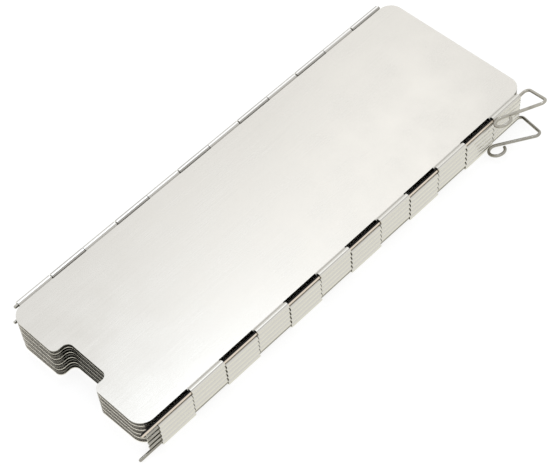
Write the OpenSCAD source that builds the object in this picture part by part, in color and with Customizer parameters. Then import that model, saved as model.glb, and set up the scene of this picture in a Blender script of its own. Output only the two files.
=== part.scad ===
// Folding windscreen for a camp stove, folded flat. Sheet aluminium plates are hinged edge to edge in a
// zigzag: each long edge is cut into tabs that are rolled into eyes, and a wire pin runs through the eyes of
// two neighbouring plates. The free edges of the first and last plates hold a wire ground stake each.
// X runs along the plates towards the stake handles, Y runs across them and Z runs up through the stack.
// The left edge is at +Y and the right edge, with the stakes, at -Y.
// The origin is the middle of the underside of the last plate, at the bottom of the stack.
// Two plates that share a left hinge lie parallel, as a pair, and every pair is fanned from the pair below.

/* [Plates] */
// Number of plates, an even number so that both stakes are on the same edge
plate_count = 10; // [4:2:16]
// Length of a plate, which is the height of the standing screen
plate_l = 240; // [200:1:300]
// Width of a plate between its cut edges
plate_w = 81.6; // [60:0.2:110]
// Thickness of the sheet
sheet_t = 0.5; // [0.4:0.05:0.7]
// Radius of the four plate corners
corner_r = 7; // [4:0.5:9]

/* [Folded stack] */
// Angle by which each right hinge stands open in the folded stack, which makes its left edge thicker
fan_angle = 0.9; // [0:0.1:1]

/* [Hose notch] */
// Width of the notch in the lower edge of every plate
notch_w = 24.4; // [16:0.2:40]
// Depth of the notch
notch_d = 8; // [6.5:0.25:14]
// Radius of the inner corners of the notch
notch_inner_r = 3; // [1:0.25:4]
// Radius of the corners at the mouth of the notch
notch_mouth_r = 3; // [1:0.25:4]

/* [Rolled eyes] */
// Number of places along a long edge, used in turn by the two plates of a hinge
place_count = 12; // [8:2:16]
// Distance from the end of a plate to the first place
row_inset = 6.3; // [5:0.1:10]
// Difference in length between an eye and its place, which is the play along the pin
eye_end_gap = 0.5; // [0.45:0.05:1]
// How far the eyes of every second plate sit towards the notched end, within that play
eye_slip = 0.2; // [0:0.05:0.2]
// Clearance between the wire and the inside of an eye, on the radius
wire_play = 0.25; // [0.1:0.01:0.35]
// Gap between the eyes of one hinge and the eyes of the next hinge above it
row_gap = 0.2; // [0.1:0.05:0.5]
// How far an eye on the left edge stands above the face of its plate
eye_rise = 0.15; // [0:0.05:0.3]
// Clearance between an eye on the left edge and the cut edge of the other plate
left_edge_gap = 0.35; // [0.3:0.05:1]
// Clearance between an eye on the right edge and the cut edge of the other plate
right_edge_gap = 0.95; // [0.5:0.05:1.5]
// Direction in which the neck of a left eye meets its ring
left_neck_angle = 150; // [140:1:152]
// Direction in which the ring of a left eye ends, under its neck
left_end_angle = 180; // [178:1:190]
// Direction in which the neck of a right eye meets its ring
right_neck_angle = 109; // [105:1:125]
// Direction in which the ring of a right eye ends, under its neck
right_end_angle = 165; // [158:1:175]

/* [Hinge pins] */
// Diameter of the wire of the pins and the stakes
wire_d = 1.5; // [1.2:0.1:1.9]
// How far the left pins stand out of the last eye at the notched end
left_pin_out = 0.6; // [0.5:0.1:4]
// How far the right pins stand out of the last eye at the notched end
right_pin_out = 6; // [1:0.1:8]
// How far the top pin stands out of the last eye at the notched end
top_pin_out = 2; // [0.5:0.1:4]
// Number of the pin, counted from the top, that has crept out at the notched end
crept_pin = 5; // [1:1:9]
// How far the crept pin stands out
crept_pin_out = 4.4; // [1:0.1:6]
// How far every pin stands out of the first eye at the handle end
far_pin_out = 0.8; // [0.5:0.1:1.5]
// Length of the chamfer on the cut ends of the pins
pin_chamfer = 0.25; // [0.1:0.05:0.5]

/* [Ground stakes] */
// How much longer the straight shank of a stake is than a plate
shank_excess = 2; // [1.2:0.1:6]
// How far the tip of the top stake stands out past the notched edge
top_tip_out = 2.2; // [0:0.1:3]
// How far the tip of the bottom stake stands out past the notched edge
bottom_tip_out = 5.7; // [0:0.1:10]
// Length of the taper at the tip
tip_l = 0.7; // [0.5:0.1:4]
// Diameter of the blunt tip
tip_d = 1; // [0.5:0.1:1]
// Radius of the two bends of the handle, at the middle of the wire
bend_r = 2.2; // [1.6:0.1:2.8]
// Turn of the first bend, from the shank to the cross leg
first_turn = 108.5; // [95:0.5:112]
// Length of the cross leg between the corners of the handle
cross_l = 19.2; // [16:0.1:26]
// Turn of the second bend, from the cross leg to the return leg
second_turn = 114; // [108:0.5:119]
// Radius of the curl at the end of the return leg, at the middle of the wire
curl_r = 3.75; // [3:0.05:4.5]
// Turn of the curl, away from the handle
curl_turn = 289; // [240:1:295]
// Clearance between the curl and the eyes beside it
curl_gap = 0.4; // [0.2:0.05:1]
// Share of the play by which the top stake lies below the middle of its eyes
top_sag = 0.8; // [-0.9:0.05:0.9]
// Share of the play by which the bottom stake lies below the middle of its eyes
bottom_sag = -0.8; // [-0.9:0.05:0.9]
// Swing of the top handle above level
top_tilt = 29; // [0:1:60]
// Swing of the bottom handle above level
bottom_tilt = 14; // [10:1:40]

/* [Hidden] */
$fn = 48;
// A cut reaches this far past the face it opens
cut_over = 1;
// The root of an eye reaches this far into its plate
root_in = 1;
// Bending draws the wire out, so that it is thinner by this much in its bends
bend_thin = 0.02;
// The straight legs of a stake reach this far into its bends
bend_lap = 0.05;
// Bore, outside radius and middle radius of a rolled eye
bore_r = wire_d / 2 + wire_play;
eye_r = bore_r + sheet_t;
eye_mid_r = bore_r + sheet_t / 2;
// Height between the two rows of eyes that lie one above the other on an edge
row_pitch = 2 * eye_r + row_gap;
// Height between a pin and the middle of the two sheets that it joins
left_offset = eye_mid_r - eye_rise;
right_offset = row_pitch / 2 - left_offset;
// Distance of the pins from the cut edges and from the middle of the plates
left_reach = eye_r + left_edge_gap;
right_reach = eye_r + right_edge_gap;
left_y = plate_w / 2 + left_reach;
right_y = -plate_w / 2 - right_reach;
// Places along an edge, counted from the handle end
row_x = plate_l / 2 - row_inset;
place_l = 2 * row_x / place_count;
eye_l = place_l - eye_end_gap;
// Straight shank of a stake, up to the corner of its handle
shank_l = plate_l + shank_excess;
first_tangent = bend_r * tan(first_turn / 2);
second_tangent = bend_r * tan(second_turn / 2);
// The return leg ends where its curl just clears the eyes
return_heading = first_turn + second_turn;
curl_low = eye_r + wire_d / 2 + curl_gap;
return_end = curl_low + curl_r * (1 + cos(return_heading));
return_l = (cross_l * sin(first_turn) - return_end) / -sin(return_heading);

plate_colour = [0.86, 0.85, 0.83];
wire_colour = [0.66, 0.64, 0.6];

function numbered(word, i) = str(word, i < 10 ? "_0" : "_", i);
function plate_name(i) = numbered("plate", i);
function pin_name(i) = numbered("hinge_pin", i);

// Odd hinges, counted from the top, are on the left edge
function is_odd(i) = i % 2 == 1;

// Pair that plate i is in, counted from 0 at the bottom, and the pair at the top
function pair_of(i) = floor((plate_count - i) / 2);
top_pair = pair_of(1);

// Place of the right pin or stake under pair p; the right pins stand in a line square to the top plate
function pair_y(p) = right_y - p * row_pitch * sin(fan_angle * top_pair);
function pair_z(p) = sheet_t / 2 - right_offset + p * row_pitch * cos(fan_angle * top_pair);

// How far the two plates of pair p are slipped apart across the stack, within the play of their pin
function pair_slip(p) = row_pitch * sin(fan_angle * (top_pair - p));

// Height of the middle of plate i above the right pin under its pair
function plate_h(i) = right_offset + (is_odd(i) ? 2 * left_offset : 0);

// Height of the pin between plates i and i + 1 above the right pin under the pair of plate i
function pin_h(i) = is_odd(i) ? right_offset + left_offset : 0;

// How far the pin between plates i and i + 1 stands out at the notched end
function pin_out(i) = i == crept_pin ? crept_pin_out
    : i == 1 ? top_pin_out
    : is_odd(i) ? left_pin_out : right_pin_out;

// Frame of pair p, with its heights from the right pin under the pair
module in_pair(p) {
    translate([0, pair_y(p), pair_z(p)])
        rotate([fan_angle * p, 0, 0])
            translate([0, -right_y - pair_slip(p) / 2, 0])
                children();
}

// Outline of a plate without its eyes
module plate_outline() {
    inner_l = plate_l - 2 * corner_r;
    inner_w = plate_w - 2 * corner_r;
    difference() {
        union() {
            square([plate_l, inner_w], center = true);
            square([inner_l, plate_w], center = true);
            for (sx = [-1, 1], sy = [-1, 1])
                translate([sx * inner_l / 2, sy * inner_w / 2])
                    circle(r = corner_r);
        }
        translate([-plate_l / 2, 0])
            notch_outline();
    }
}

// Outline of the hose notch, with its mouth on the Y axis and its depth along +X
module notch_outline() {
    straight_w = notch_w - 2 * notch_inner_r;
    translate([-cut_over, -notch_w / 2])
        square([notch_d - notch_inner_r + cut_over, notch_w]);
    translate([-cut_over, -straight_w / 2])
        square([notch_d + cut_over, straight_w]);
    for (side = [-1, 1]) {
        translate([notch_d - notch_inner_r, side * straight_w / 2])
            circle(r = notch_inner_r);
        mirror([0, side < 0 ? 1 : 0])
            mouth_flare();
    }
}

// Rounding of one corner at the mouth of the notch
module mouth_flare() {
    difference() {
        translate([-cut_over, notch_w / 2 - notch_mouth_r])
            square([notch_mouth_r + cut_over, 2 * notch_mouth_r]);
        translate([notch_mouth_r, notch_w / 2 + notch_mouth_r])
            circle(r = notch_mouth_r);
    }
}

// Section of a rolled eye: the pin is at the origin, the plate comes in from -X at a height of offset, and
// the sheet runs along its neck, over the top of the pin and round to a free end below the neck
module eye_section(offset, reach, neck_angle, end_angle) {
    neck_end = eye_mid_r * [cos(neck_angle), sin(neck_angle)];
    neck = neck_end - [-reach, offset];
    across = sheet_t / 2 * [-neck[1], neck[0]] / norm(neck);
    far_r = 2 * eye_r;
    difference() {
        union() {
            difference() {
                circle(r = eye_r);
                polygon([
                    [0, 0],
                    for (a = [neck_angle, (neck_angle + end_angle) / 2, end_angle])
                        far_r * [cos(a), sin(a)]
                ]);
            }
            polygon([
                [-reach - root_in, offset - sheet_t / 2],
                [-reach, offset - sheet_t / 2],
                neck_end - across,
                neck_end + across,
                [-reach, offset + sheet_t / 2],
                [-reach - root_in, offset + sheet_t / 2]
            ]);
        }
        circle(r = bore_r);
    }
}

// Row of eyes along X in every second place, the first place or the second place at the handle end
module eye_row(first_place, offset, reach, neck_angle, end_angle) {
    for (place = [first_place : 2 : place_count])
        translate([row_x - place * place_l + eye_end_gap / 2, 0, 0])
            rotate([90, 0, 90])
                linear_extrude(eye_l)
                    eye_section(offset, reach, neck_angle, end_angle);
}

// Plate i of the stack, with its left eyes rolled towards the next plate below or above, and its right eyes
// rolled the other way
module plate(i) {
    odd = is_odd(i);
    slip = odd ? eye_slip : 0;
    side_slip = pair_slip(pair_of(i)) / 2;
    color(plate_colour)
        in_pair(pair_of(i))
            translate([0, odd ? -side_slip : side_slip, plate_h(i)])
                mirror([0, 0, odd ? 0 : 1]) {
                    linear_extrude(sheet_t, center = true)
                        plate_outline();
                    translate([-slip, left_y, -left_offset])
                        eye_row(odd ? 2 : 1, left_offset, left_reach, left_neck_angle, left_end_angle);
                    translate([-slip, right_y, right_offset])
                        rotate([180, 0, 0])
                            eye_row(odd ? 1 : 2, right_offset, right_reach, right_neck_angle, right_end_angle);
                }
}

// Piece of straight wire along +X from the origin, longer by lap at both ends; what follows it starts where
// it would end without the lap
module straight(l, lap = 0) {
    translate([-lap, 0, 0])
        rotate([0, 90, 0])
            cylinder(d = wire_d, h = l + 2 * lap);
    translate([l, 0, 0])
        children();
}

// Cone of wire along +X from the origin; what follows it starts at its end
module taper(l, d_start, d_end) {
    rotate([0, 90, 0])
        cylinder(d1 = d_start, d2 = d_end, h = l);
    translate([l, 0, 0])
        children();
}

// Bend to the left from a heading of +X at the origin; what follows it starts at its end
module bend(r, turn) {
    translate([0, r, 0])
        rotate([0, 0, -90])
            rotate_extrude(angle = turn)
                translate([r, 0])
                    circle(d = wire_d - bend_thin);
    translate([r * sin(turn), r * (1 - cos(turn)), 0])
        rotate([0, 0, turn])
            children();
}

// Pin of the hinge between plates i and i + 1
module hinge_pin(i) {
    left = is_odd(i);
    pair = pair_of(i);
    near_out = pin_out(i);
    pin_l = 2 * row_x + near_out + far_pin_out;
    end_d = wire_d - 2 * pin_chamfer;
    color(wire_colour)
        in_pair(pair)
            translate([-row_x - near_out, left ? left_y : right_y + pair_slip(pair) / 2, pin_h(i)])
                taper(pin_chamfer, end_d, wire_d)
                    straight(pin_l - 2 * pin_chamfer)
                        taper(pin_chamfer, wire_d, end_d);
}

// Ground stake in the plane of X and Y: a blunt tip at the origin, the shank, and a three-cornered handle
// whose return leg ends in a curl
module ground_stake() {
    taper(tip_l, tip_d, wire_d)
        straight(shank_l - tip_l - first_tangent, bend_lap)
            bend(bend_r, first_turn)
                straight(cross_l - first_tangent - second_tangent, bend_lap)
                    bend(bend_r, second_turn)
                        straight(return_l - second_tangent, bend_lap)
                            mirror([0, 1, 0])
                                bend(curl_r, curl_turn);
}

// Stake laid at a height in a row of right eyes of pair p, with its handle swung up from the plates
module laid_stake(p, height, tip_out, tilt) {
    color(wire_colour)
        in_pair(p)
            translate([-plate_l / 2 - tip_out, right_y + pair_slip(p) / 2, height])
                rotate([180 - tilt, 0, 0])
                    ground_stake();
}

module ground_stake_top() {
    laid_stake(top_pair, row_pitch - top_sag * wire_play, top_tip_out, top_tilt);
}

module ground_stake_bottom() {
    laid_stake(0, -bottom_sag * wire_play, bottom_tip_out, bottom_tilt);
}

for (i = [1 : plate_count]) {
    plate(i);
}
for (i = [1 : plate_count - 1]) {
    hinge_pin(i);
}
ground_stake_top();
ground_stake_bottom();
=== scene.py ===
"""Dresses the folded stove windscreen: rolled sheet plates, wire hinge pins and wire ground stakes."""

import logging
import math
from dataclasses import dataclass
from enum import Enum

import bpy
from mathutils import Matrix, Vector


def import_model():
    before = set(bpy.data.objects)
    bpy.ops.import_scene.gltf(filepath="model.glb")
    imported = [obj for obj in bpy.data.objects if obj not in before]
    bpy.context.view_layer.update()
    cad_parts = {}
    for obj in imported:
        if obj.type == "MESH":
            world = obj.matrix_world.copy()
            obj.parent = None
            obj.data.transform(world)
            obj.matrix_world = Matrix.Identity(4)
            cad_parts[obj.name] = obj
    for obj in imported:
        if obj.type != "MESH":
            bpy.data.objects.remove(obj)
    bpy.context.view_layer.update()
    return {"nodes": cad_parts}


LOG = logging.getLogger("windscreen")

Colour = tuple[float, float, float]
Point = tuple[float, float, float]
Range = tuple[float, float]

# Range that most values of a noise keep to
NOISE_RANGE: Range = (0.3, 0.7)

# Places of the colour and number sockets of a Mix node
MIX_COLOURS = slice(6, 8)
MIX_COLOUR_OUT = 2
MIX_NUMBERS = slice(2, 4)


class Coordinate(Enum):
    """Outputs of the Texture Coordinate node that the finishes read."""

    PLACE = "Object"
    FACING = "Normal"


@dataclass(frozen=True)
class Waves:
    """A noise over a piece's own coordinates.

    Attributes:
        stretch: Waves per metre along X, Y and Z.
        detail: Octaves of the noise.
    """

    stretch: Point
    detail: float = 3.0


def shade(colour: Colour, share: float) -> Colour:
    """Returns a colour times a share."""
    return tuple(share * c for c in colour)


class Shader:
    """A material's node tree, with short ways to add and join nodes."""

    def __init__(self, name: str) -> None:
        """Makes an empty material.

        Args:
            name: Name of the material.
        """
        self.material = bpy.data.materials.new(name)
        self.material.use_nodes = True
        self.tree = self.material.node_tree
        self.tree.nodes.clear()
        self.coordinates = self.add("ShaderNodeTexCoord")
        self.output = self.add("ShaderNodeOutputMaterial")

    def add(self, kind: str, **settings: object) -> bpy.types.Node:
        """Adds a node.

        Args:
            kind: Blender's name for the node.
            settings: Properties of the node to set.

        Returns:
            The new node.
        """
        node = self.tree.nodes.new(kind)
        for key, value in settings.items():
            setattr(node, key, value)
        return node

    def join(self, start: bpy.types.NodeSocket, end: bpy.types.NodeSocket) -> None:
        """Links an output socket to an input socket."""
        self.tree.links.new(start, end)

    def feed(self, socket: bpy.types.NodeSocket, value: object) -> None:
        """Gives a socket a link or a fixed value.

        Args:
            socket: The input socket.
            value: An output socket, or a number or vector.
        """
        if isinstance(value, bpy.types.NodeSocket):
            self.join(value, socket)
        else:
            socket.default_value = value

    def read(self, coordinate: Coordinate) -> bpy.types.NodeSocket:
        """Returns the socket of one kind of coordinate."""
        return self.coordinates.outputs[coordinate.value]

    def parts(self, coordinate: Coordinate) -> bpy.types.bpy_prop_collection:
        """Splits one kind of coordinate.

        Args:
            coordinate: The kind of coordinate.

        Returns:
            Its sockets X, Y and Z.
        """
        node = self.add("ShaderNodeSeparateXYZ")
        self.join(self.read(coordinate), node.inputs[0])
        return node.outputs

    def math(self, operation: str, *values: object) -> bpy.types.NodeSocket:
        """Adds a Math node.

        Args:
            operation: Blender's name for the operation.
            values: Sockets or numbers, in the order of the node's inputs.

        Returns:
            The result's socket.
        """
        node = self.add("ShaderNodeMath", operation=operation)
        for socket, value in zip(node.inputs, values):
            self.feed(socket, value)
        return node.outputs[0]

    def both(self, first: object, second: object) -> bpy.types.NodeSocket:
        """Returns the product of two masks or shares."""
        return self.math("MULTIPLY", first, second)

    def span(self, value: object, limits: Range, results: Range = (0.0, 1.0)) -> bpy.types.NodeSocket:
        """Maps a value from one range to another, held at the ends.

        Args:
            value: The socket to map.
            limits: Start and end of the range of the value.
            results: Results at the start and the end.

        Returns:
            The result's socket.
        """
        node = self.add("ShaderNodeMapRange", clamp=True)
        for socket, number in zip(node.inputs, (value, *limits, *results)):
            self.feed(socket, number)
        return node.outputs[0]

    def noise(self, waves: Waves) -> bpy.types.NodeSocket:
        """Adds noise over the piece's own coordinates.

        Args:
            waves: The noise's measures.

        Returns:
            The noise's value, about 0 to 1.
        """
        mapping = self.add("ShaderNodeMapping")
        mapping.inputs["Scale"].default_value = waves.stretch
        self.join(self.read(Coordinate.PLACE), mapping.inputs["Vector"])
        node = self.add("ShaderNodeTexNoise")
        node.inputs["Scale"].default_value = 1.0
        node.inputs["Detail"].default_value = waves.detail
        self.join(mapping.outputs["Vector"], node.inputs["Vector"])
        return node.outputs["Fac"]

    def blend(self, share: object, first: object, second: object) -> bpy.types.NodeSocket:
        """Mixes two colours.

        Args:
            share: Share of the second colour.
            first: Colour or socket.
            second: Colour or socket.

        Returns:
            The mixed colour's socket.
        """
        node = self.add("ShaderNodeMix", data_type="RGBA")
        self.feed(node.inputs[0], share)
        for socket, colour in zip(node.inputs[MIX_COLOURS], (first, second)):
            self.feed(socket, (*colour, 1.0) if isinstance(colour, tuple) else colour)
        return node.outputs[MIX_COLOUR_OUT]

    def mix(self, share: object, first: object, second: object) -> bpy.types.NodeSocket:
        """Mixes two numbers.

        Args:
            share: Share of the second number.
            first: Number or socket.
            second: Number or socket.

        Returns:
            The mixed number's socket.
        """
        node = self.add("ShaderNodeMix", data_type="FLOAT")
        self.feed(node.inputs[0], share)
        for socket, number in zip(node.inputs[MIX_NUMBERS], (first, second)):
            self.feed(socket, number)
        return node.outputs[0]

    def choose(self, share: object, first: object, second: object) -> bpy.types.NodeSocket:
        """Mixes two surfaces.

        Args:
            share: Share of the second surface.
            first: Socket of a surface.
            second: Socket of a surface.

        Returns:
            The mixed surface's socket.
        """
        node = self.add("ShaderNodeMixShader")
        for socket, value in zip(node.inputs, (share, first, second)):
            self.feed(socket, value)
        return node.outputs[0]

    def relief(self, height: bpy.types.NodeSocket, depth: float, strength: float) -> bpy.types.NodeSocket:
        """Adds a bump.

        Args:
            height: Socket of the height, about 0 to 1.
            depth: Depth of the relief in metres.
            strength: Share of the relief that shows.

        Returns:
            The bumped normal's socket.
        """
        node = self.add("ShaderNodeBump")
        node.inputs["Distance"].default_value = depth
        node.inputs["Strength"].default_value = strength
        self.join(height, node.inputs["Height"])
        return node.outputs["Normal"]

    def metal(self, colour: object, roughness: object, normal: object) -> bpy.types.Material:
        """Ends the tree in a metal surface.

        Args:
            colour: Socket of the base colour.
            roughness: Socket of the roughness.
            normal: Socket of the bumped normal.

        Returns:
            The finished material.
        """
        surface = self.add("ShaderNodeBsdfPrincipled")
        surface.inputs["Metallic"].default_value = 1.0
        self.feed(surface.inputs["Base Color"], colour)
        self.feed(surface.inputs["Roughness"], roughness)
        self.feed(surface.inputs["Normal"], normal)
        self.join(surface.outputs[0], self.output.inputs["Surface"])
        return self.material


@dataclass(frozen=True)
class EyeLightAndShade:
    """Painted shade and painted highlights on the rolled eyes, told apart by the direction that their skin
    faces.

    Attributes:
        right_flank: Facing along Y over which the painted shade on the right flank of a left eye ends.
        right_flank_share: How dark the painted shade on that flank is, beside the left one.
        left_flank: Facing along Y over which the painted shade on the left flank of a left eye starts.
        crest_right: Facing along Y over which the painted highlight on the crest of a left eye starts.
        crest_left: Facing along Y over which that painted highlight ends.
        crest: Colour of the painted highlight on the crest.
        rubbed: Colour of the right eyes where they are rubbed bright.
        rubbed_share: Share of the right eyes' colour that the rubbing takes.
        shade_line: Facing along Y of a line of painted shade on the right eyes.
        shade_line_half: Half of the painted line's range of facing.
        shade_line_share: How dark the painted line is.
        top: Facing along Z over which the painted shade on the top of a right eye starts.
        eye_shade_level: Brightness of the painted shade on the eyes, as a share of the face's.
        slot_facing: Facing along Y beyond which the skin looks into a slot of the right row.
        slot_y: Place of the slots' inner side along Y.
        slot_half: Half of the range of places that is taken for that side.
        slot: Colour of the painted shade in the slots.
    """

    right_flank: Range = (-0.5, -0.3)
    right_flank_share: float = 0.75
    left_flank: Range = (0.25, 0.4)
    crest_right: Range = (-0.4, -0.25)
    crest_left: Range = (0.2, 0.35)
    crest: Colour = (0.85, 0.84, 0.82)
    rubbed: Colour = (0.75, 0.733, 0.676)
    rubbed_share: float = 0.5
    shade_line: float = -0.45
    shade_line_half: float = 0.08
    shade_line_share: float = 0.5
    top: Range = (0.3, 0.6)
    eye_shade_level: float = 0.25
    slot_facing: float = -0.6
    slot_y: float = -0.041
    slot_half: float = 0.0014
    slot: Colour = (0.01, 0.01, 0.01)


@dataclass(frozen=True)
class SheetFinish:
    """Satin rolled aluminium with sheared edges and rolled eyes.

    Attributes:
        name: Name of the material.
        face: Colour of the rolled face.
        face_spread: How far the grain changes the face's colour, as a share.
        grain_range: Range of the grain over which the colour changes.
        rolling: Lines that the rolling mill leaves, the first part of the grain.
        rolling_share: Share of those lines in the grain.
        speckle: Specks, the other part of the grain.
        clouds: Wide clouds on the face.
        stain: Colour of the clouds on the face.
        stain_share: Share of the colour that the clouds take at most.
        edge: Colour of the sheared edge.
        notch_shade: Colour of the cut edge in the hose notch, painted darker as shade in the recess.
        tears: Torn streaks in a cut edge.
        tear_shade: Brightness of the torn streaks, as a share of the edge's.
        tear_share: Share of the colour that the streaks take at most.
        glint: Colour of the painted glint on the cut ends, strongest at the left.
        glint_range: Places across the plate between which the painted glint grows.
        glint_share: Share of the colour that the painted glint takes at most.
        roughness: Roughness of the rolled face.
        grain_rough: How far the grain changes the roughness.
        cloud_rough: How far the clouds change the roughness.
        burnish: Roughness of the hinge edges and the eyes, which the rolling of the eyes leaves.
        burnish_start: Distance from the middle at which that roughness starts.
        burnish_w: Width over which it starts.
        end_roughness: Roughness of the face beside the cut ends.
        end_range: Distances from the middle along X between which that face starts.
        notch_roughness: Roughness of the face beside the hose notch.
        notch_x: Place along X where the hose notch starts.
        notch_half_w: Half of the notch's width.
        edge_roughness: Roughness of the sheared edge.
        upright: Facing along Z below which the skin counts as upright.
        flat_half_w: Half of the width that is flat, beyond which the eyes start.
        lean: How far the folded stack leans to the right, as a share of its height.
        flank_shade: How dark the painted shade on the flanks of the left eyes is.
        top_shade: How dark the painted shade on the tops of the right eyes is.
        grain_depth: Depth of the grain's relief.
        grain_strength: Share of the relief that shows.
        eyes: Painted shade and painted highlights on the eyes.
    """

    name: str
    face: Colour = (0.647, 0.628, 0.588)
    face_spread: float = 0.025
    grain_range: Range = (0.35, 0.65)
    rolling: Waves = Waves((30.0, 1500.0, 1500.0), 4.0)
    rolling_share: float = 0.3
    speckle: Waves = Waves((5200.0, 5200.0, 5200.0), 2.0)
    clouds: Waves = Waves((60.0, 60.0, 60.0))
    stain: Colour = (0.45, 0.44, 0.41)
    stain_share: float = 0.05
    edge: Colour = (0.5, 0.485, 0.45)
    notch_shade: Colour = (0.36, 0.35, 0.32)
    tears: Waves = Waves((1400.0, 1400.0, 500.0), 2.0)
    tear_shade: float = 0.5
    tear_share: float = 0.25
    glint: Colour = (1.0, 0.96, 0.9)
    glint_range: Range = (0.014, 0.034)
    glint_share: float = 0.35
    roughness: float = 0.25
    grain_rough: float = 0.038
    cloud_rough: float = 0.025
    burnish: float = 0.24
    burnish_start: float = 0.037
    burnish_w: float = 0.003
    end_roughness: float = 0.42
    end_range: Range = (0.1155, 0.1165)
    notch_roughness: float = 0.19
    notch_x: float = -0.1085
    notch_half_w: float = 0.0155
    edge_roughness: float = 0.5
    upright: float = 0.5
    flat_half_w: float = 0.0412
    lean: float = 0.06
    flank_shade: float = 0.75
    top_shade: float = 0.08
    grain_depth: float = 0.00002
    grain_strength: float = 0.12
    eyes: EyeLightAndShade = EyeLightAndShade()

    def face_colour(self, shader: Shader, grain: object, cloud: object) -> bpy.types.NodeSocket:
        """Colours the rolled face.

        Args:
            shader: The material's tree.
            grain: Socket of the fine grain.
            cloud: Socket of the wide clouds.

        Returns:
            The colour's socket.
        """
        dark = shade(self.face, 1.0 - self.face_spread)
        light = shade(self.face, 1.0 + self.face_spread)
        colour = shader.blend(shader.span(grain, self.grain_range), dark, light)
        return shader.blend(shader.span(cloud, NOISE_RANGE, (0.0, self.stain_share)), colour, self.stain)

    def cut_colour(self, shader: Shader, in_notch: object, across: object) -> bpy.types.NodeSocket:
        """Colours the cut edges, with painted shade in the hose notch and a painted glint towards the left.

        Args:
            shader: The material's tree.
            in_notch: Mask of the hose notch.
            across: Socket of the place across the plate.

        Returns:
            The colour's socket.
        """
        tear = shader.span(shader.noise(self.tears), NOISE_RANGE, (0.0, self.tear_share))
        # Painted shade: the edges in the recessed hose notch are coloured darker.
        colour = shader.blend(in_notch, self.edge, self.notch_shade)
        colour = shader.blend(tear, colour, shade(self.edge, self.tear_shade))
        # Painted glint: the cut ends get lighter towards the left.
        left_glint = shader.span(across, self.glint_range, (0.0, self.glint_share))
        return shader.blend(left_glint, colour, self.glint)

    def paint_eye_light_and_shade(self, shader: Shader, colour: object, across: object) -> bpy.types.NodeSocket:
        """Adds painted shade and painted highlights on the rolled eyes.

        Args:
            shader: The material's tree.
            colour: Socket of the colour without the marks.
            across: Socket of the place across the plate.

        Returns:
            The colour's socket.
        """
        eyes = self.eyes
        facing = shader.parts(Coordinate.FACING)
        on_left = shader.math("GREATER_THAN", across, self.flat_half_w)
        on_right = shader.math("LESS_THAN", across, -self.flat_half_w)
        colour = shader.blend(shader.both(on_right, eyes.rubbed_share), colour, eyes.rubbed)
        # Painted shade on the flanks of the left eyes, chosen by the way the skin faces.
        flanks = shader.math(
            "MAXIMUM",
            shader.span(facing["Y"], eyes.right_flank, (eyes.right_flank_share, 0.0)),
            shader.span(facing["Y"], eyes.left_flank),
        )
        # Painted highlight along the crest of the left eyes, chosen by the way the skin faces.
        crest = shader.both(
            shader.span(facing["Y"], eyes.crest_right),
            shader.span(facing["Y"], eyes.crest_left, (1.0, 0.0)),
        )
        colour = shader.blend(shader.both(on_left, crest), colour, eyes.crest)
        # Painted shade: a dark line on the right eyes at one facing.
        shade_line = shader.math("COMPARE", facing["Y"], eyes.shade_line, eyes.shade_line_half)
        # Painted shade on the tops of the right eyes, where the skin faces up.
        top = shader.span(facing["Z"], eyes.top, (0.0, self.top_shade))
        shaded_flanks = shader.both(shader.both(on_left, flanks), self.flank_shade)
        shaded_right_eyes = shader.both(on_right, shader.math("MAXIMUM", top, shader.both(shade_line, eyes.shade_line_share)))
        # All the painted shade on the eyes takes this darker copy of the face colour.
        dull = shade(self.face, eyes.eye_shade_level)
        colour = shader.blend(shader.math("MAXIMUM", shaded_flanks, shaded_right_eyes), colour, dull)
        # Painted shade: near-black skin where it looks into the slots of the right row.
        in_slot = shader.both(
            shader.math("LESS_THAN", facing["Y"], eyes.slot_facing),
            shader.math("COMPARE", across, eyes.slot_y, eyes.slot_half),
        )
        return shader.blend(in_slot, colour, eyes.slot)

    def build(self) -> bpy.types.Material:
        """Builds the sheet's material.

        Returns:
            The finished material.
        """
        shader = Shader(self.name)
        grain = shader.mix(self.rolling_share, shader.noise(self.speckle), shader.noise(self.rolling))
        cloud = shader.noise(self.clouds)
        place = shader.parts(Coordinate.PLACE)
        across = shader.math("MULTIPLY_ADD", place["Z"], self.lean, place["Y"])
        aside = shader.math("ABSOLUTE", across)
        in_notch = shader.both(
            shader.math("LESS_THAN", place["X"], self.notch_x),
            shader.math("LESS_THAN", aside, self.notch_half_w),
        )
        tilt = shader.math("ABSOLUTE", shader.parts(Coordinate.FACING)["Z"])
        sheared = shader.both(
            shader.math("LESS_THAN", tilt, self.upright),
            shader.math("LESS_THAN", aside, self.flat_half_w),
        )
        face = self.face_colour(shader, grain, cloud)
        colour = shader.blend(sheared, face, self.cut_colour(shader, in_notch, across))
        colour = self.paint_eye_light_and_shade(shader, colour, across)
        limits = (self.roughness - self.grain_rough, self.roughness + self.grain_rough)
        rough = shader.math(
            "ADD",
            shader.span(grain, NOISE_RANGE, limits),
            shader.span(cloud, NOISE_RANGE, (-self.cloud_rough, self.cloud_rough)),
        )
        hinge_edge = (self.burnish_start, self.burnish_start + self.burnish_w)
        masks = (
            (shader.span(aside, hinge_edge), self.burnish),
            (shader.span(shader.math("ABSOLUTE", place["X"]), self.end_range), self.end_roughness),
            (in_notch, self.notch_roughness),
        )
        for mask, roughness in masks:
            rough = shader.math("MULTIPLY_ADD", mask, roughness - self.roughness, rough)
        rough = shader.mix(sheared, rough, self.edge_roughness)
        return shader.metal(colour, rough, shader.relief(grain, self.grain_depth, self.grain_strength))


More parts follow.
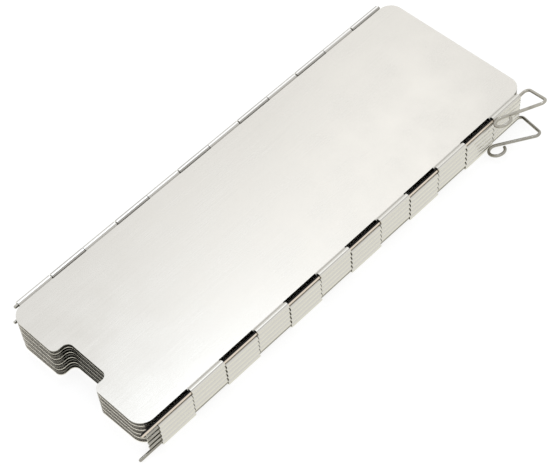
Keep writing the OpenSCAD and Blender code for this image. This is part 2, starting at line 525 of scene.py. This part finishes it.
@dataclass(frozen=True)
class WireFinish:
    """Drawn steel wire with fine lines along it, and where asked a painted highlight and painted shade on
    the shank among the eyes.

    Attributes:
        name: Name of the material.
        colour: Colour of the clean wire.
        lines: Lines that the drawing die leaves.
        patches: Patches where the wire is dull.
        tarnish: Colour where the wire is dull.
        tarnish_range: Range of the noise over which the wire gets dull.
        tarnish_share: Share of the colour that the dullness takes at most.
        roughness: Roughness of the clean wire.
        line_rough: How far the drawn lines change the roughness.
        dull_range: Range of the noise over which dullness makes the wire rougher.
        dull_rough: How much rougher the dull wire is.
        shank_light_and_shade: Share of the painted highlight on the shank and of the painted shade on its
            upper side.
        shank_shade_colour: Colour of the painted shade.
        shank_shade_range: Facing along Y over which the painted shade starts.
        shank_highlight: Colour of the painted highlight on the shank.
        shank_y: Place of the middle of the shank along Y.
        shank_half: Half of the shank's thickness, with a little play.
        shank_end: Place of the shank's handle end along X.
        line_depth: Depth of the drawn lines.
        line_strength: Share of their relief that shows.
    """

    name: str = "drawn_steel_wire"
    colour: Colour = (0.34, 0.325, 0.29)
    lines: Waves = Waves((90.0, 5200.0, 5200.0))
    patches: Waves = Waves((150.0, 420.0, 420.0), 4.0)
    tarnish: Colour = (0.26, 0.245, 0.21)
    tarnish_range: Range = (0.45, 0.72)
    tarnish_share: float = 0.7
    roughness: float = 0.2
    line_rough: float = 0.06
    dull_range: Range = (0.45, 0.75)
    dull_rough: float = 0.1
    shank_light_and_shade: float = 0.0
    shank_shade_colour: Colour = (0.008, 0.008, 0.008)
    shank_shade_range: Range = (-0.6, -0.35)
    shank_highlight: Colour = (0.74, 0.65, 0.56)
    shank_y: float = -0.04424
    shank_half: float = 0.0008
    shank_end: float = 0.1
    line_depth: float = 0.00001
    line_strength: float = 0.3

    def build(self) -> bpy.types.Material:
        """Builds the wire's material.

        Returns:
            The finished material.
        """
        shader = Shader(self.name)
        lines = shader.noise(self.lines)
        patches = shader.noise(self.patches)
        dull = shader.span(patches, self.tarnish_range, (0.0, self.tarnish_share))
        colour = shader.blend(dull, self.colour, self.tarnish)
        place = shader.parts(Coordinate.PLACE)
        among_eyes = shader.both(
            shader.math("LESS_THAN", place["X"], self.shank_end),
            shader.math("COMPARE", place["Y"], self.shank_y, self.shank_half),
        )
        # Painted highlight on the shank among the eyes; the next step paints shade on its upper side.
        colour = shader.blend(shader.both(among_eyes, self.shank_light_and_shade), colour, self.shank_highlight)
        upper = shader.span(shader.parts(Coordinate.FACING)["Y"], self.shank_shade_range, (0.0, self.shank_light_and_shade))
        colour = shader.blend(shader.both(among_eyes, upper), colour, self.shank_shade_colour)
        limits = (self.roughness - self.line_rough, self.roughness + self.line_rough)
        rough = shader.math(
            "ADD",
            shader.span(lines, NOISE_RANGE, limits),
            shader.span(patches, self.dull_range, (0.0, self.dull_rough)),
        )
        return shader.metal(colour, rough, shader.relief(lines, self.line_depth, self.line_strength))


@dataclass(frozen=True)
class FloorFinish:
    """White paper that looks white to the camera and keeps a soft shadow.

    Attributes:
        name: Name of the material.
        paper: Colour of the paper.
        fibres: Fibres of the paper.
        shaded: Brightness of the paper between its fibres, as a share of the paper's.
        glow: Light that the camera sees from the paper itself.
        lit: Share of the paper's own shading in what the camera sees.
        mirrored: Colour of the light that the metal sees from the paper.
    """

    name: str = "white_paper"
    paper: Colour = (0.9, 0.9, 0.9)
    fibres: Waves = Waves((900.0, 900.0, 900.0))
    shaded: float = 0.985
    glow: float = 0.8
    lit: float = 0.26
    mirrored: Colour = (1.0, 1.0, 0.935)

    def build(self) -> bpy.types.Material:
        """Builds the paper's material.

        Returns:
            The finished material.
        """
        shader = Shader(self.name)
        pulp = shader.blend(shader.noise(self.fibres), shade(self.paper, self.shaded), self.paper)
        plain = shader.add("ShaderNodeBsdfDiffuse")
        shader.join(pulp, plain.inputs["Color"])
        soft = shader.add("ShaderNodeBsdfDiffuse")
        soft.inputs["Color"].default_value = (self.lit, self.lit, self.lit, 1.0)
        glow = shader.add("ShaderNodeEmission")
        glow.inputs["Strength"].default_value = self.glow
        shown = shader.add("ShaderNodeAddShader")
        shader.join(soft.outputs[0], shown.inputs[0])
        shader.join(glow.outputs[0], shown.inputs[1])
        white = shader.add("ShaderNodeEmission")
        white.inputs["Color"].default_value = (*self.mirrored, 1.0)
        white.inputs["Strength"].default_value = 1.0
        rays = shader.add("ShaderNodeLightPath").outputs
        mirrored = shader.math("MAXIMUM", rays["Is Glossy Ray"], rays["Is Transmission Ray"])
        surface = shader.choose(rays["Is Camera Ray"], plain.outputs[0], shown.outputs[0])
        surface = shader.choose(mirrored, surface, white.outputs[0])
        shader.join(surface, shader.output.inputs["Surface"])
        shader.material.cycles.emission_sampling = "NONE"
        return shader.material


@dataclass
class PlateStack:
    """The hinged plates, which the CAD model makes.

    Attributes:
        count: Number of plates.
        cover: Finish of the top plate.
        burr_up_shaded_edges: Finish of the other plates that lie with the burr of their cut edges up, their
            cut edges painted dark as shade.
        burr_down_lit_edges: Finish of the plates between them, folded over so that their burr is down, their
            cut edges painted light as a highlight.
    """

    count: int = 10
    cover: SheetFinish = SheetFinish(
        "satin_cover_sheet",
        burnish=0.38,
        burnish_start=0.0408,
        end_roughness=0.25,
        notch_roughness=0.25,
        flank_shade=0.35,
        top_shade=0.03,
    )
    # Lit and shaded copies of one sheet: painted shade on the burr-up plates' cut edges, a painted highlight
    # on the burr-down plates' cut edges.
    burr_up_shaded_edges: SheetFinish = SheetFinish(
        "satin_sheet_burr_up", edge=(0.22, 0.203, 0.182), notch_shade=(0.2, 0.195, 0.18), end_roughness=0.4
    )
    burr_down_lit_edges: SheetFinish = SheetFinish(
        "satin_sheet_burr_down", edge=(1.0, 0.96, 0.89), notch_shade=(0.62, 0.6, 0.55), end_roughness=0.46
    )

    def dress(self, nodes: dict[str, bpy.types.Object]) -> None:
        """Gives every plate its finish.

        Args:
            nodes: The CAD model's pieces by name.
        """
        dress_node(nodes["plate_01"], self.cover.build())
        turned = (self.burr_down_lit_edges.build(), self.burr_up_shaded_edges.build())
        for number in range(2, self.count + 1):
            dress_node(nodes[f"plate_{number:02d}"], turned[number % 2])


@dataclass
class HingePins:
    """The wire pins through the rolled eyes.

    Attributes:
        count: Number of pins.
        finish: Finish of the wire.
    """

    count: int = 9
    finish: WireFinish = WireFinish(name="drawn_pin_wire", colour=(0.4, 0.385, 0.345), roughness=0.25)

    def dress(self, nodes: dict[str, bpy.types.Object]) -> None:
        """Gives every pin its finish.

        Args:
            nodes: The CAD model's pieces by name.
        """
        material = self.finish.build()
        for number in range(1, self.count + 1):
            dress_node(nodes[f"hinge_pin_{number:02d}"], material)


@dataclass
class GroundStakes:
    """The two wire stakes with looped handles.

    Attributes:
        shown: Finish of the top stake, whose shank shows between the eyes of the top plate; it carries a
            painted highlight and painted shade on that shank, and its wire colour is painted lighter than
            the bottom stake's.
        hidden: Finish of the bottom stake.
    """

    # Painted light on the top stake: a lighter wire colour than the bottom stake's, a painted highlight on
    # the shank and painted shade on its upper side.
    shown: WireFinish = WireFinish(name="painted_light_stake_wire", colour=(0.43, 0.41, 0.365), shank_light_and_shade=1.0)
    hidden: WireFinish = WireFinish(name="bright_stake_wire")

    def dress(self, nodes: dict[str, bpy.types.Object]) -> None:
        """Gives both stakes, taken from the CAD model's pieces, their finish."""
        dress_node(nodes["ground_stake_top"], self.shown.build())
        dress_node(nodes["ground_stake_bottom"], self.hidden.build())


@dataclass(frozen=True)
class SoftBox:
    """A square soft lamp above the stack.

    Attributes:
        name: Name of the lamp.
        place: Where it stands.
        target: Where it points.
        watts: Its power.
        tint: Colour of its light.
        size: Side of the lamp.
    """

    name: str
    place: Point
    target: Point
    watts: float
    tint: Colour = (1.0, 1.0, 1.0)
    size: float = 0.282

    def build(self) -> None:
        """Makes the lamp, hidden from the camera."""
        data = bpy.data.lights.new(self.name, "AREA")
        data.size = self.size
        data.energy = self.watts
        data.color = self.tint
        lamp = bpy.data.objects.new(self.name, data)
        bpy.context.scene.collection.objects.link(lamp)
        lamp.location = self.place
        aim = Vector(self.target) - Vector(self.place)
        lamp.rotation_euler = aim.to_track_quat("-Z", "Y").to_euler()
        lamp.visible_camera = False


@dataclass
class Studio:
    """White paper floor, white surroundings and soft lamps.

    Attributes:
        floor_w: Width of the paper.
        rest_right: Point under the right eyes that touches the paper, as Y and Z.
        rest_left: Point under the left edge that touches the paper, as Y and Z.
        paper: Finish of the floor.
        surround: Strength of the surroundings.
        lamps: The soft lamps, from the near end to the far end.
    """

    floor_w: float = 6.0
    rest_right: tuple[float, float] = (-0.04325, -0.00175)
    rest_left: tuple[float, float] = (0.04265, -0.00015)
    paper: FloorFinish = FloorFinish()
    surround: float = 1.0
    lamps: tuple[SoftBox, ...] = (
        SoftBox("corner_box", (0.108, 0.298, 1.5), (-0.175, -0.125, 0.0104), 1.45, (0.8, 0.88, 1.0)),
        SoftBox("key_box", (0.396, 0.333, 1.5), (-0.095, -0.115, 0.011), 0.75, (0.78, 0.87, 1.0)),
        SoftBox("middle_box", (0.587, 0.596, 1.5), (-0.04, -0.04, 0.0157), 0.08),
        SoftBox("far_box", (0.837, 0.596, 1.5), (0.03, -0.04, 0.0157), 0.13),
        SoftBox("end_box", (1.086, 0.596, 1.5), (0.1, -0.04, 0.0157), 0.06),
        SoftBox("left_box", (0.581, 0.803, 1.5), (-0.04, 0.02, 0.0195), 0.035),
        SoftBox("back_box", (1.077, 0.803, 1.5), (0.1, 0.02, 0.0195), 0.07),
    )

    def build_floor(self) -> None:
        """Lays the paper under the stack, touching the right eyes and the left edge."""
        rise = self.rest_left[1] - self.rest_right[1]
        run = self.rest_left[0] - self.rest_right[0]
        tilt = math.atan2(rise, run)
        middle = self.rest_right[1] - self.rest_right[0] * rise / run
        place, turn = (0.0, 0.0, middle), (tilt, 0.0, 0.0)
        bpy.ops.mesh.primitive_plane_add(size=self.floor_w, location=place, rotation=turn)
        floor = bpy.context.object
        floor.name = "paper_floor"
        floor.data.materials.append(self.paper.build())

    def build_surround(self) -> None:
        """Surrounds the scene with white, which shows white to the camera and in the metal."""
        world = bpy.data.worlds.new("white_tent")
        bpy.context.scene.world = world
        world.use_nodes = True
        tree = world.node_tree
        tree.nodes.clear()
        white = tree.nodes.new("ShaderNodeBackground")
        white.inputs["Color"].default_value = (1.0, 1.0, 1.0, 1.0)
        white.inputs["Strength"].default_value = self.surround
        output = tree.nodes.new("ShaderNodeOutputWorld")
        tree.links.new(white.outputs[0], output.inputs["Surface"])

    def build(self) -> None:
        """Builds the floor, the surroundings and the lamps."""
        self.build_floor()
        self.build_surround()
        for lamp in self.lamps:
            lamp.build()


@dataclass
class PhotoCamera:
    """A camera where the photograph was taken.

    Attributes:
        place: Where it stands.
        turn_deg: Its rotation about X, Y and Z.
        focal_px: Focal length in pixels of the picture.
        width_px: Width of the picture in pixels.
        sensor_mm: Width of the sensor.
        clip: Nearest and farthest distance that shows.
    """

    place: Point = (-0.284834, -0.358733, 0.559421)
    turn_deg: Point = (38.4789, 6.0668, -45.6761)
    focal_px: float = 1616.69
    width_px: float = 550.0
    sensor_mm: float = 36.0
    clip: Range = (0.01, 50.0)

    def build(self) -> None:
        """Makes the scene's camera."""
        data = bpy.data.cameras.new("photo_camera")
        data.sensor_width = self.sensor_mm
        data.lens = self.focal_px * self.sensor_mm / self.width_px
        data.clip_start, data.clip_end = self.clip
        camera = bpy.data.objects.new("photo_camera", data)
        bpy.context.scene.collection.objects.link(camera)
        camera.location = self.place
        camera.rotation_euler = tuple(math.radians(a) for a in self.turn_deg)
        bpy.context.scene.camera = camera


def dress_node(node: bpy.types.Object, material: bpy.types.Material) -> None:
    """Gives one of the CAD model's pieces a finish.

    Args:
        node: The piece.
        material: The finish, already built.
    """
    node.data.materials.clear()
    node.data.materials.append(material)
    LOG.info("%s dressed in %s", node.name, material.name)


def main() -> None:
    """Loads the CAD model, dresses its pieces and sets the scene round it."""
    logging.basicConfig(level=logging.INFO, format="%(name)s: %(message)s")
    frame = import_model()
    bpy.ops.object.select_all(action="DESELECT")
    PlateStack().dress(frame["nodes"])
    HingePins().dress(frame["nodes"])
    GroundStakes().dress(frame["nodes"])
    Studio().build()
    PhotoCamera().build()
    bpy.context.scene.view_settings.view_transform = "Standard"


if __name__ == "__main__":
    main()
